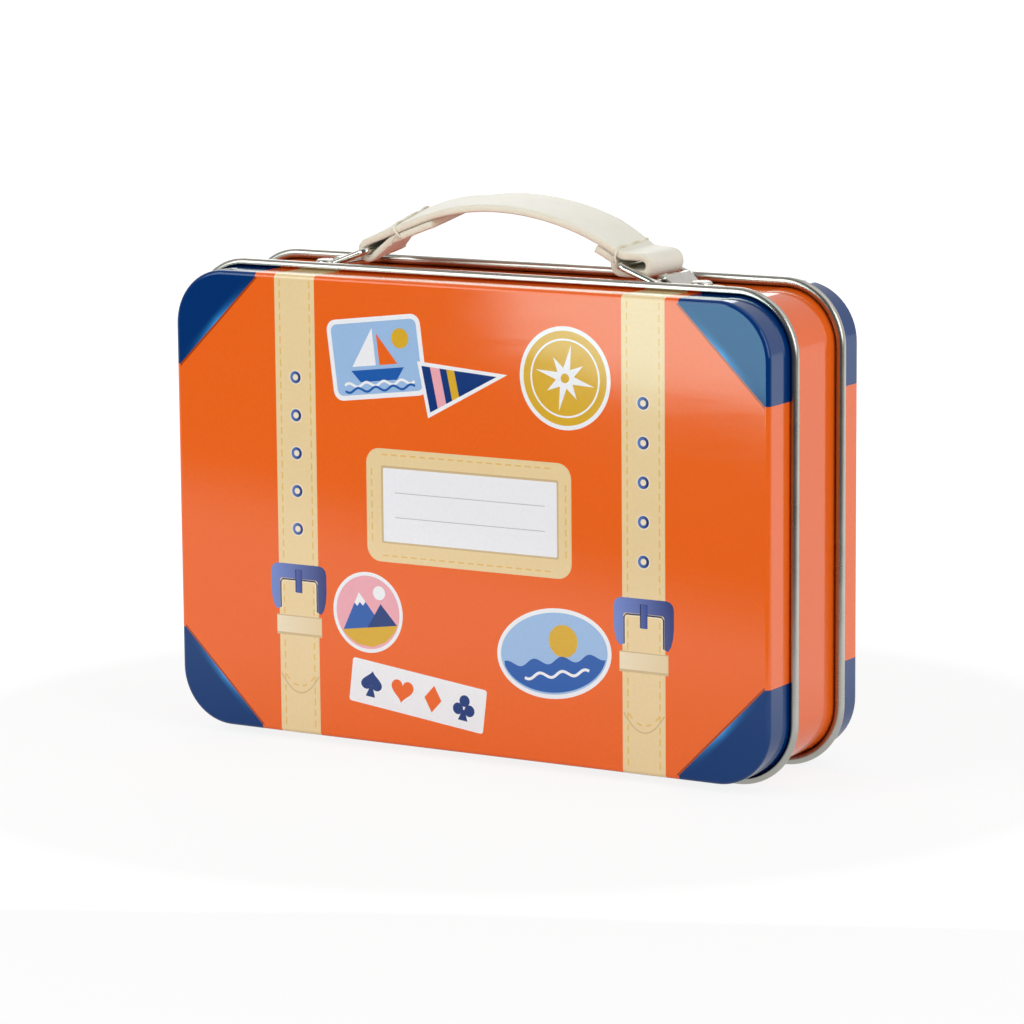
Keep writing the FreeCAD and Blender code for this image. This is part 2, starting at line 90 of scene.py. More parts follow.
# Sewing thread, and its seams: name, place along X, slant, and how far the loose end leans
THREAD_RADIUS = 0.24
END_RADIUS = 0.16
END_DROP = 2.6
SEAMS = (("left_seam", -23.5, 0.02, -1.2), ("right_seam", 29.0, -0.03, 0.9))

# Decks
CARD_WIDTH = 63.0
CARD_HEIGHT = 88.0
CARD_MARGIN = 4.0
DECK_X = 32.0
DECK_Z = 46.72


def srgb(code):
    """Turn an sRGB hex colour into the linear RGBA that shader sockets take."""
    values = np.array([int(code[i:i + 2], 16) for i in (0, 2, 4)]) / 255
    linear = np.where(values <= 0.04045, values / 12.92, ((values + 0.055) / 1.055) ** 2.4)
    return (*linear.tolist(), 1.0)


def fill(tree, node, inputs):
    """Give each input of a node a value or a link from an output."""
    for socket, value in inputs.items():
        if isinstance(value, bpy.types.NodeSocket):
            tree.links.new(value, node.inputs[socket])
        else:
            node.inputs[socket].default_value = value


def add_node(tree, kind, inputs=None, **settings):
    """Add a node, set its properties and fill its inputs."""
    node = tree.nodes.new(kind)
    for name, value in settings.items():
        setattr(node, name, value)
    fill(tree, node, inputs or {})
    return node


def new_finish(name):
    """A new material, its node tree and its surface node."""
    finish = bpy.data.materials.new(name)
    finish.use_nodes = True
    tree = finish.node_tree
    return finish, tree, tree.nodes["Principled BSDF"]


def object_place(tree):
    """Place on the object, in metres from the frame's origin."""
    return add_node(tree, "ShaderNodeTexCoord").outputs["Object"]


def axis_parts(tree, vector):
    """The three numbers of a vector."""
    return add_node(tree, "ShaderNodeSeparateXYZ", {0: vector}).outputs


def attribute(tree, name):
    """A number that the mesh carries at its points."""
    return add_node(tree, "ShaderNodeAttribute", attribute_name=name).outputs["Fac"]


def reckon(tree, operation, *values):
    """One step of arithmetic on numbers."""
    return add_node(tree, "ShaderNodeMath", dict(enumerate(values)), operation=operation).outputs[0]


def reckon_vector(tree, operation, *values):
    """One step of arithmetic on vectors. A length or a dot product gives a number."""
    node = add_node(tree, "ShaderNodeVectorMath", dict(enumerate(values)), operation=operation)
    return node.outputs["Value" if operation in ("LENGTH", "DOT_PRODUCT") else "Vector"]


def remap(tree, value, low, high, start=0.0, end=1.0):
    """Turn a number that runs from start to end into one that runs from low to high."""
    return add_node(tree, "ShaderNodeMapRange", {0: value, 1: start, 2: end, 3: low, 4: high}).outputs[0]


def mix(tree, share, first, second):
    """Blend two colours: a share of 0 gives the first, and 1 the second."""
    return add_node(tree, "ShaderNodeMix", {0: share, 6: first, 7: second}, data_type="RGBA").outputs[2]


def noise(tree, place, grain, detail):
    """Cloudy noise with grains of about the given size in millimetres."""
    inputs = {"Vector": place, "Scale": 1 / (grain * MM), "Detail": detail}
    return add_node(tree, "ShaderNodeTexNoise", inputs).outputs[0]


def bump(tree, height, strength, depth, normal=None):
    """Relief of a depth in millimetres, on top of another relief if one is given."""
    inputs = {"Height": height, "Strength": strength, "Distance": depth * MM}
    if normal is not None:
        inputs["Normal"] = normal
    return add_node(tree, "ShaderNodeBump", inputs).outputs[0]


def varnish(tree, surface, place):
    """Baked clear varnish on thin sheet: flow lines 2.5 mm apart along X and slow dents 45 mm across.

    Its gloss is sharp enough to show the edge of a lamp, and the flow lines make that edge tremble.
    """
    flow = noise(tree, reckon_vector(tree, "MULTIPLY", place, (0.2, 1, 1)), 2.5, 2.0)
    dents = bump(tree, noise(tree, place, 45, 0.0), 1.0, 0.22)
    relief = bump(tree, flow, 1.0, 0.006, dents)
    fill(tree, surface, {"Normal": relief, "Roughness": remap(tree, flow, 0.05, 0.12)})


def dot_grain(tree, place):
    """Share of the deeper tone in an ink: the faint grain of its printed dots, 0.7 mm across."""
    return remap(tree, noise(tree, place, 0.7, 3.0), 0.0, 0.12, 0.35, 0.7)


def printed_ink(name, code, second=None, span=None):
    """Lithographed tinplate: flat ink with a faint dot grain, under gloss varnish.

    With a second colour, the ink shades from one to the other across the printed strap.
    """
    finish, tree, surface = new_finish(name)
    place = object_place(tree)
    deeper = np.array(srgb(code)) * (0.72, 0.72, 0.72, 1.0)
    colour = mix(tree, dot_grain(tree, place), srgb(code), deeper.tolist())
    if second:
        colour = mix(tree, remap(tree, attribute(tree, "across"), 0.0, 1.0, *span), colour, srgb(second))
    fill(tree, surface, {"Base Color": colour})
    varnish(tree, surface, place)
    return finish


def patch_ink():
    """Navy corner patch, printed with a light gleam along the middle of its slanting edge.

    The edge is the line where the distances from the middle of the face, across and up, add up to
    the same sum. The gleam fades over 2.6 mm from that line, and over 19 mm towards both of its ends.
    Over this dark ink the varnish takes a blue tint in its reflections.
    """
    finish, tree, surface = new_finish("lithographed_navy_patch")
    place = object_place(tree)
    parts = axis_parts(tree, place)
    up = reckon(tree, "ABSOLUTE", reckon(tree, "SUBTRACT", parts[2], MID_HEIGHT * MM))
    aside = reckon(tree, "ABSOLUTE", parts[0])
    edge_sum = (PATCH_X + HALF_HEIGHT - FACE_ROUND) * MM
    near = remap(tree, reckon(tree, "ADD", aside, up), 1.0, 0.0, edge_sum, edge_sum + 2.6 * MM)
    middle = (PATCH_X - HALF_HEIGHT + HALF_WIDTH - PATCH_Z) / 2 * MM
    off = reckon(tree, "SUBTRACT", reckon(tree, "SUBTRACT", aside, up), middle)
    along = remap(tree, reckon(tree, "ABSOLUTE", off), 1.0, 0.0, 0.0, 19 * MM)
    gleam = reckon(tree, "POWER", reckon(tree, "MULTIPLY", near, along), 1.9)
    colour = mix(tree, gleam, srgb("01316f"), srgb("3a9be6"))
    fill(tree, surface, {"Base Color": colour, "Specular Tint": (0.6, 0.83, 1.0, 1.0)})
    varnish(tree, surface, place)
    return finish


def bare_tin():
    """Tin-plated steel as rolled: bright, faintly cloudy, and a little soft in its reflections."""
    finish, tree, surface = new_finish("bare_tinplate")
    cloud = noise(tree, object_place(tree), 6, 4.0)
    tone = mix(tree, cloud, srgb("a8a7a0"), srgb("c5c3bb"))
    fill(tree, surface, {"Base Color": tone, "Roughness": remap(tree, cloud, 0.25, 0.31), "Metallic": 1.0})
    return finish


def nickel(name, roughness):
    """Nickel plate on stamped or drawn steel: bright and faintly warm, with soft handling marks."""
    finish, tree, surface = new_finish(name)
    marks = noise(tree, object_place(tree), 1.6, 5.0)
    tone = mix(tree, marks, srgb("c4c0b8"), srgb("e4e1da"))
    gloss = remap(tree, marks, roughness - 0.05, roughness + 0.08)
    fill(tree, surface, {"Base Color": tone, "Roughness": gloss, "Metallic": 1.0})
    return finish


def band_finish():
    """Body band: orange ink and varnish on the outside, bare tinplate on the inside and the cut edges.

    A point is outside where the surface faces away from the line through the middles of both covers.
    """
    finish, tree, surface = new_finish("lithographed_orange_band")
    coords = add_node(tree, "ShaderNodeTexCoord").outputs
    place = coords["Object"]
    centred = reckon_vector(tree, "SUBTRACT", place, (0, 0, MID_HEIGHT * MM))
    from_line = reckon_vector(tree, "MULTIPLY", centred, (1, 0, 1))
    facing = reckon_vector(tree, "DOT_PRODUCT", from_line, coords["Normal"])
    outside = reckon(tree, "GREATER_THAN", facing, 0.5 * MM)
    ink = mix(tree, dot_grain(tree, place), srgb("ee651a"), srgb("d65a16"))
    colour = mix(tree, outside, srgb("cfcdc6"), ink)
    fill(tree, surface, {"Base Color": colour, "Metallic": reckon(tree, "SUBTRACT", 1.0, outside)})
    varnish(tree, surface, place)
    return finish


def card_paper(name, centre, ink):
    """Coated card stock: a white edge ruled by the cut cards, 0.3 mm each, with painted shade in the gaps
    between them, and a back with a lattice.

    The back is where the surface faces along Y: slanting squares of ink, 2.4 mm wide, inside a white
    margin. On the other sides the tone changes along Y, from card to card.
    """
    finish, tree, surface = new_finish(name)
    coords = add_node(tree, "ShaderNodeTexCoord").outputs
    place = coords["Object"]
    local = reckon_vector(tree, "SUBTRACT", place, (centre[0] * MM, 0, centre[1] * MM))
    reach = axis_parts(tree, reckon_vector(tree, "ABSOLUTE", local))
    in_width = reckon(tree, "LESS_THAN", reach[0], (CARD_WIDTH / 2 - CARD_MARGIN) * MM)
    in_height = reckon(tree, "LESS_THAN", reach[2], (CARD_HEIGHT / 2 - CARD_MARGIN) * MM)
    turned = add_node(
        tree,
        "ShaderNodeMapping",
        {0: local, "Rotation": (0, math.radians(45), 0), "Scale": (1, 0, 1)},
    )
    lattice = add_node(
        tree,
        "ShaderNodeTexChecker",
        {0: turned.outputs[0], "Scale": 1 / (2.4 * MM), "Color1": (1, 1, 1, 1), "Color2": (0, 0, 0, 1)},
    )
    shown = remap(tree, lattice.outputs["Fac"], 0.62, 1.0)
    amount = reckon(tree, "MULTIPLY", shown, reckon(tree, "MULTIPLY", in_width, in_height))
    back = mix(tree, amount, srgb("f4f1ea"), srgb(ink))
    leaf = reckon(tree, "MODULO", axis_parts(tree, place)[1], 0.3 * MM)
    # Painted shade: a darker line 0.09 mm wide in each gap between the cards.
    painted_gap_shade = reckon(tree, "LESS_THAN", leaf, 0.09 * MM)
    edge = mix(tree, painted_gap_shade, srgb("f2eee4"), srgb("b9b2a2"))
    along = reckon(tree, "ABSOLUTE", axis_parts(tree, coords["Normal"])[1])
    flat = reckon(tree, "GREATER_THAN", along, 0.7)
    gloss = remap(tree, flat, 0.75, 0.38)
    fill(tree, surface, {"Base Color": mix(tree, flat, edge, back), "Roughness": gloss})
    return finish


def strap_finish():
    """Coated strap material: off-white, matt, with a fine pebble grain and raw, yellower cut edges."""
    finish, tree, surface = new_finish("coated_strap")
    place = object_place(tree)
    pebbles = add_node(
        tree, "ShaderNodeTexVoronoi", {"Vector": place, "Scale": 1 / (0.6 * MM)}, feature="SMOOTH_F1"
    )
    fibre = noise(tree, place, 0.35, 3.0)
    cut = attribute(tree, "cut_edge")
    face = mix(tree, noise(tree, place, 4, 4.0), srgb("e9e6d6"), srgb("f3f0e4"))
    raw = mix(tree, fibre, srgb("e2dac2"), srgb("f1ebda"))
    grain = bump(tree, pebbles.outputs["Distance"], 0.8, 0.08)
    fray = bump(tree, reckon(tree, "MULTIPLY", fibre, cut), 0.8, 0.15, grain)
    fill(tree, surface, {"Base Color": mix(tree, cut, face, raw), "Normal": fray})
    fill(tree, surface, {"Roughness": 0.58, "Sheen Weight": 0.15})
    return finish


def thread_finish():
    """Twisted sewing thread, off-white: matt, with slanting twist lines 0.5 mm apart, darkened by painted
    shade where the plies meet.
    """
    finish, tree, surface = new_finish("sewing_thread")
    twist = add_node(
        tree,
        "ShaderNodeTexWave",
        {"Vector": object_place(tree), "Scale": 1 / (0.5 * MM) / 20, "Distortion": 1.0},
        bands_direction="DIAGONAL",
    )
    # Painted shade: the darker tone of the twist lines stands for the grooves between the plies.
    colour = mix(tree, twist.outputs["Fac"], srgb("d8cfb6"), srgb("f0ecdf"))
    fill(tree, surface, {"Base Color": colour, "Roughness": 0.8})
    return finish


def new_piece(name, points, faces, finishes, finish_of_face=None, normals=None, **values):
    """Put points in millimetres and their faces into a new object, with its finishes and attributes."""
    mesh = bpy.data.meshes.new(name)
    mesh.from_pydata((np.asarray(points) * MM).tolist(), [], faces)
    for finish in finishes:
        mesh.materials.append(finish)
    if finish_of_face is not None:
        mesh.polygons.foreach_set("material_index", np.asarray(finish_of_face, np.int32))
    mesh.polygons.foreach_set("use_smooth", np.ones(len(mesh.polygons), bool))
    for attribute, numbers in values.items():
        layer = mesh.attributes.new(attribute, "FLOAT", "POINT")
        layer.data.foreach_set("value", np.asarray(numbers, np.float32))
    mesh.update()
    if normals is not None:
        mesh.normals_split_custom_set(np.asarray(normals).tolist())
    piece = bpy.data.objects.new(name, mesh)
    bpy.context.scene.collection.objects.link(piece)
    return piece


def turn_and_place(shape, centre, tilt=0.0):
    """Turn an outline by a tilt in degrees, then move it to its centre."""
    angle = math.radians(tilt)
    spin = np.array([[math.cos(angle), math.sin(angle)], [-math.sin(angle), math.cos(angle)]])
    return np.asarray(shape, float) @ spin + np.asarray(centre, float)


def box_outline(width, height, radius=0.0):
    """Rectangle about the origin whose corners are quarter circles of the given radius."""
    corners = np.array([(1, 1), (-1, 1), (-1, -1), (1, -1)], float)
    if radius == 0:
        return corners * (width / 2, height / 2)
    steps = np.linspace(0, math.pi / 2, 7)
    starts = np.arange(4) * math.pi / 2
    angles = starts[:, None] + steps[None, :]
    centres = corners * (width / 2 - radius, height / 2 - radius)
    arcs = centres[:, None, :] + radius * np.stack([np.cos(angles), np.sin(angles)], axis=-1)
    return arcs.reshape(-1, 2)


def oval_outline(across, upright=None, count=48):
    """Ellipse about the origin, from its two half lengths."""
    angles = np.linspace(0, 2 * math.pi, count, endpoint=False)
    return np.stack([across * np.cos(angles), (upright or across) * np.sin(angles)], axis=-1)


def star_outline(tips, long, short, turn=0.0):
    """Star about the origin: points at the long and the short radius by turns."""
    angles = np.arange(2 * tips) * math.pi / tips + math.radians(90 + turn)
    reach = np.where(np.arange(2 * tips) % 2 == 0, long, short)
    return np.stack([reach * np.cos(angles), reach * np.sin(angles)], axis=-1)


def ribbon_outline(line, width):
    """Band of one width along a line of points: the line moved to each side by half the width."""
    line = np.asarray(line, float)
    step = np.gradient(line, axis=0)
    step /= np.linalg.norm(step, axis=1, keepdims=True)
    aside = np.stack([-step[:, 1], step[:, 0]], axis=-1) * width / 2
    return np.concatenate([line + aside, (line - aside)[::-1]])


def suit_outlines():
    """Spade, heart, diamond and club, each about one unit from its middle to its edge."""
    t = np.linspace(0, 2 * math.pi, 40, endpoint=False)
    leaf = np.stack(
        [
            16 * np.sin(t) ** 3,
            13 * np.cos(t) - 5 * np.cos(2 * t) - 2 * np.cos(3 * t) - np.cos(4 * t),
        ],
        axis=-1,
    ) / 17
    stem = np.array([(-0.1, -0.2), (0.1, -0.2), (0.4, -1.0), (-0.4, -1.0)])
    spots = ((0, 0.45), (-0.48, -0.2), (0.48, -0.2))
    leaves = [turn_and_place(oval_outline(0.43, count=28), spot) for spot in spots]
    spade = [leaf * (0.95, -0.85) + (0, 0.1), stem]
    half = np.array([(0, 1), (0.42, 0.42), (0.72, 0), (0.42, -0.42)])
    diamond = [np.concatenate([half, -half])]
    return [spade, [leaf + (0, 0.08)], diamond, leaves + [stem]]


def sticker_layers():
    """The travel stickers, each a list of inks and outlines about its own middle."""
    wave_x = np.linspace(-8.6, 8.6, 40)
    swell = np.stack([wave_x, 0.45 * np.sin(wave_x * 1.45)], axis=-1)
    boat = [
        ("white", box_outline(23, 17, 2.2)),
        ("sky", box_outline(21, 15, 1.4)),
        ("mustard", turn_and_place(oval_outline(2.1), (6.2, 3.6))),
        ("white", [(-0.4, -1.6), (-0.4, 6.2), (-6.2, -1.6)]),
        ("orange", [(0.5, -1.6), (0.5, 5.0), (4.9, -1.6)]),
        ("blue", [(-6.6, -2.4), (-4.6, -4.9), (4.4, -4.9), (6.4, -2.4)]),
        ("white", ribbon_outline(swell - (0, 5.4), 0.55)),
        ("blue", ribbon_outline(swell * (1, -1) - (0, 6.5), 0.5)),
    ]
    compass = [
        ("white", oval_outline(10.6, count=64)),
        ("mustard", oval_outline(9.7, count=64)),
        ("white", oval_outline(8.1, count=64)),
        ("mustard", oval_outline(7.7, count=64)),
        ("white", star_outline(4, 5.0, 1.5, 45)),
        ("white", star_outline(4, 7.0, 1.35)),
        ("mustard", oval_outline(1.0, count=24)),
    ]
    pennant = [
        ("white", [(-10.2, 6.0), (10.6, 0), (-10.2, -6.0)]),
        ("navy", [(-9.4, 4.9), (8.0, 0), (-9.4, -4.9)]),
        ("pink", [(-7.4, 4.34), (-5.2, 3.72), (-5.2, -3.72), (-7.4, -4.34)]),
        ("mustard", [(-3.6, 3.27), (-1.8, 2.76), (-1.8, -2.76), (-3.6, -3.27)]),
    ]
    suits = [("white", box_outline(33, 9.4, 0.6))]
    suit_inks = ("navy", "orange", "orange", "navy")
    for spot, ink, outlines in zip((-11.4, -3.8, 3.8, 11.4), suit_inks, suit_outlines()):
        suits += [(ink, np.asarray(shape) * 2.9 + (spot, 0)) for shape in outlines]
    sea_x = np.linspace(-12.1, 12.1, 45)
    sea_top = np.stack([sea_x, -1.4 + 0.7 * np.sin(sea_x * 0.95)], axis=-1)
    sea_floor = np.stack([sea_x, -8.1 * np.sqrt(1 - (sea_x / 12.4) ** 2)], axis=-1)
    crest = np.stack([wave_x * 0.9, -4.3 + 0.55 * np.sin(wave_x * 1.05)], axis=-1)
    seaside = [
        ("white", oval_outline(13.6, 9.4, 64)),
        ("sky", oval_outline(12.7, 8.5, 64)),
        ("mustard", turn_and_place(oval_outline(3.4), (2.6, 2.4))),
        ("blue", np.concatenate([sea_top, sea_floor[::-1]])),
        ("white", ribbon_outline(crest, 0.6)),
    ]
    meadow = [(-6.95, -3.2), (6.95, -3.2), (5.9, -4.7), (3.6, -6.5), (0, -7.4), (-3.6, -6.5), (-5.9, -4.7)]
    hills = [
        ("white", oval_outline(8.6, count=56)),
        ("pink", oval_outline(7.8, count=56)),
        ("white", turn_and_place(oval_outline(1.5, count=24), (3.4, 3.9))),
        ("blue", [(-6.6, -3.2), (-1.6, 4.4), (3.2, -3.2)]),
        ("navy", [(-0.6, -3.2), (3.4, 1.6), (6.8, -3.2)]),
        ("white", [(-3.0, 2.27), (-1.6, 4.4), (-0.25, 2.27), (-1.0, 1.5), (-1.7, 2.3), (-2.4, 1.5)]),
        ("mustard", meadow),
    ]
    return [
        (boat, (-20.5, 83.5), 7.0),
        (pennant, (0.6, 79.6), 12.0),
        (compass, (24.5, 82.0), -12.0),
        (hills, (-23.5, 29.5), 8.0),
        (suits, (-11.5, 13.0), -7.0),
        (seaside, (21.5, 25.0), 9.0),
    ]


def strap_body(centre):
    """A printed strap from top to bottom of a cover, past the outline of the face."""
    return "cream", box_outline(2 * STRAP_HALF, 110) + (centre, MID_HEIGHT)


def strap_stitches(centre):
    """Two rows of stitches along a printed strap, with a stitch every 2.4 mm."""
    return [
        ("stitch", box_outline(0.3, 1.45) + (centre + side * 3.7, rise))
        for side in (-1, 1)
        for rise in np.arange(4.2, 98, 2.4)
    ]


def belt_layers(centre):
    """One printed strap with its stitches, eyelets, rounded tip, keeper and buckle."""
    def at(shape, rise=0.0):
        """Move an outline to the middle of the strap, and up."""
        return np.asarray(shape, float) + (centre, rise)

    layers = [strap_body(centre)] + strap_stitches(centre)
    for rise in (78.1, 70.05, 62.0, 53.95, 45.85):
        layers.append(("pale", at(oval_outline(1.55, count=28), rise)))
        layers.append(("eyelet", at(oval_outline(1.3, count=28), rise)))
        layers.append(("pale", at(oval_outline(0.66, count=20), rise)))
    tip_half = 4.7
    tip_bow = 3.9
    across = np.linspace(-tip_half, tip_half, 25)
    tip = np.stack([across, 10.6 + tip_bow * (across / tip_half) ** 2], axis=-1)
    layers.append(("tan", at(ribbon_outline(tip, 0.3))))
    for spot in (-3.1, -1.1, 1.1, 3.1):
        slope = math.degrees(math.atan(2 * tip_bow * spot / tip_half ** 2))
        rise = 12.1 + tip_bow * (spot / tip_half) ** 2
        layers.append(("stitch", at(turn_and_place(box_outline(1.2, 0.32), (spot, rise), slope))))
    layers.append(("tan", at(box_outline(11.3, 4.3), 25.05)))
    layers.append(("keeper", at(box_outline(11.2, 3.5), 25.2)))
    frame_line = [
        (-4.75, 28.6), (-4.75, 34.5), (-4.6, 34.9), (-4.2, 35.1),
        (4.2, 35.1), (4.6, 34.9), (4.75, 34.5), (4.75, 28.2),
        (5.6, 27.9), (6.3, 28.9), (6.75, 30.6), (6.95, 32.6),
        (6.95, 36.4), (6.7, 37.4), (6.1, 38.0), (5.2, 38.25),
        (-5.2, 38.25), (-6.1, 38.0), (-6.7, 37.4), (-6.95, 36.4),
        (-6.95, 32.6), (-6.75, 30.8), (-6.3, 29.3), (-5.6, 28.4),
    ]
    rim = [
        (-4.55, 28.7), (-4.55, 34.3), (-4.1, 34.85), (0, 34.9),
        (4.1, 34.85), (4.55, 34.3), (4.55, 28.3),
    ]
    layers.append(("pale", at(ribbon_outline(np.asarray(rim) * (0.94, 1) - (0, 0.3), 0.25))))
    layers.append(("buckle", at(frame_line)))
    layers.append(("deep", at(ribbon_outline(rim, 0.32))))
    layers.append(("deep", at(box_outline(1.75, 4.9), 34.65)))
    layers.append(("prong", at(box_outline(1.4, 4.9) + (0.08, -0.08), 34.65)))
    return layers


def luggage_layers():
    """Both printed straps, and the frame of the label with its ruled card."""
    layers = list(chain.from_iterable(belt_layers(centre) for centre in STRAP_CENTRES))
    layers.append(("cream", box_outline(49.2, 23.9, 3.2) + (1.2, 52.6)))
    for rise in (42.0, 63.3):
        layers += [("stitch", box_outline(1.4, 0.3) + (spot, rise)) for spot in np.arange(-18.9, 22, 2.3)]
    for spot in (-22.1, 24.5):
        layers += [("stitch", box_outline(0.3, 1.4) + (spot, rise)) for rise in np.arange(45.7, 61, 2.3)]
    layers.append(("tan", box_outline(42.6, 16.4, 0.5) + (1.5, 52.8)))
    layers.append(("white", box_outline(41.7, 15.5, 0.3) + (1.55, 52.75)))
    layers += [("grey", box_outline(36, 0.16) + (1.55, rise)) for rise in (50.2, 55.4)]
    return layers


def patch_layers():
    """Four corner patches, each past the outline of the face, with a dark line along its slanting edge."""
    top = HALF_HEIGHT - FACE_ROUND
    side = HALF_WIDTH - FACE_ROUND
    past_top = top + 4
    past_side = side + 4
    corner = np.array(
        [(PATCH_X, top), (PATCH_X, past_top), (past_side, past_top), (past_side, PATCH_Z), (side, PATCH_Z)]
    )
    line = np.array([(PATCH_X - 0.2, top + 0.2), (side + 0.2, PATCH_Z - 0.2)]) - (0.12, 0.12)
    layers = []
    for flip in ((1, 1), (-1, 1), (-1, -1), (1, -1)):
        layers.append(("shade", ribbon_outline(line * flip, 0.6) + (0, MID_HEIGHT)))
        layers.append(("patch", corner * flip + (0, MID_HEIGHT)))
    return layers


def wall_line():
    """Points round a cover's wall and the outward normals there, counter-clockwise seen from the lid.

    Four straight runs, with points at the edges of the print, and four quarter circles between them.
    """
    reach = np.array([HALF_WIDTH - CORNER, HALF_HEIGHT - CORNER])
    runs = [
        np.unique(np.round(np.r_[np.linspace(-reach[0], reach[0], 17), STRAP_EDGES, -PATCH_X, PATCH_X], 6)),
        np.unique(np.round(np.r_[np.linspace(-reach[1], reach[1], 11), -PATCH_Z, PATCH_Z], 6)),
    ]
    steps = np.linspace(0, math.pi / 2, 17)[1:-1]
    points = []
    normals = []
    for index, (out, corner) in enumerate(
        (((0, -1), (1, -1)), ((1, 0), (1, 1)), ((0, 1), (-1, 1)), ((-1, 0), (-1, -1)))
    ):
        run = runs[index % 2] if index < 2 else runs[index % 2][::-1]
        half = HALF_HEIGHT if index % 2 == 0 else HALF_WIDTH
        fixed = np.full_like(run, half * sum(out))
        points.append(np.stack([run, fixed] if index % 2 == 0 else [fixed, run], axis=-1))
        normals.append(np.tile(np.array(out, float), (len(run), 1)))
        angles = steps + (index - 1) * math.pi / 2
        ray = np.stack([np.cos(angles), np.sin(angles)], axis=-1)
        points.append(np.array(corner) * reach + CORNER * ray)
        normals.append(ray)
    return np.concatenate(points) + (0, MID_HEIGHT), np.concatenate(normals)


def sheet_profile():
    """Section of a cover's sheet, from the face outwards, over the curl, and back along the inside.

    Each row is an offset from the wall, a depth from the face, and a normal in the same two
    directions. The face turns into the wall on a quarter circle. The curl is an arc of 280 degrees
    outside the wall: the print is on its inner radius and the bare inside of the sheet on its outer.
    """
    turn = np.linspace(0, math.pi / 2, 7)
    curl = np.linspace(0, CURL_TURN, 29)
    out = CURL_RADIUS - GAUGE

    def bend(radius, way):
        """The quarter circle from face to wall. With way 1 its normals point away from its centre."""
        return np.stack(
            [
                radius * np.sin(turn) - FACE_ROUND,
                FACE_ROUND - radius * np.cos(turn),
                way * np.sin(turn),
                -way * np.cos(turn),
            ],
            axis=-1,
        )

    def roll(radius, way):
        """The arc of the curl. With way 1 its normals point away from its centre."""
        return np.stack(
            [
                out - radius * np.cos(curl),
                WALL_DEPTH + radius * np.sin(curl),
                -way * np.cos(curl),
                way * np.sin(curl),
            ],
            axis=-1,
        )

    printed = np.concatenate([bend(FACE_ROUND, 1), roll(out, -1)])
    bare = np.concatenate([bend(FACE_ROUND - GAUGE, -1), roll(CURL_RADIUS, 1)])[::-1]
    return printed, bare


def wall_ink(middle):
    """The ink on a stretch of wall: patch past its limits, strap between its edges, otherwise orange."""
    x, z = middle
    rise = abs(z - MID_HEIGHT)
    if abs(x) > PATCH_X and rise > PATCH_Z:
        return "patch"
    if rise > HALF_HEIGHT - 0.5 and any(abs(x - centre) < STRAP_HALF for centre in STRAP_CENTRES):
        return "cream"
    return "orange"


def cut_face(outlines, count):
    """Cut the flat face along the outlines of its print. The first outline is the edge of the face.

    Where outlines overlap, the last of them gives the ink. Returns the points, the triangles, the ink
    of each triangle, and for each of the count points of the edge its place among the points.
    """
    flat_points = []
    polygons = []
    for _, shape in outlines:
        shape = np.asarray(shape, float)
        following = np.roll(shape, -1, axis=0)
        area = np.sum(shape[:, 0] * following[:, 1] - following[:, 0] * shape[:, 1])
        shape = shape if area > 0 else shape[::-1]
        polygons.append(list(range(len(flat_points), len(flat_points) + len(shape))))
        flat_points += [Vector(point) for point in shape.tolist()]
    cut_points, _, cut_faces, from_points, _, from_faces = delaunay_2d_cdt(
        flat_points, [], polygons, 1, 1e-5
    )
    inside = [(face, max(origin)) for face, origin in zip(cut_faces, from_faces) if 0 in origin]
    used, triangles = np.unique(np.array([face for face, _ in inside]), return_inverse=True)
    on_edge = np.zeros(count, int)
    for index, point in enumerate(used):
        for origin in from_points[point]:
            if origin < count:
                on_edge[origin] = index
    points = np.array([(cut_points[point].x, 0.0, cut_points[point].y) for point in used])
    return points, triangles.reshape(-1, 3).tolist(), [outlines[layer][0] for _, layer in inside], on_edge


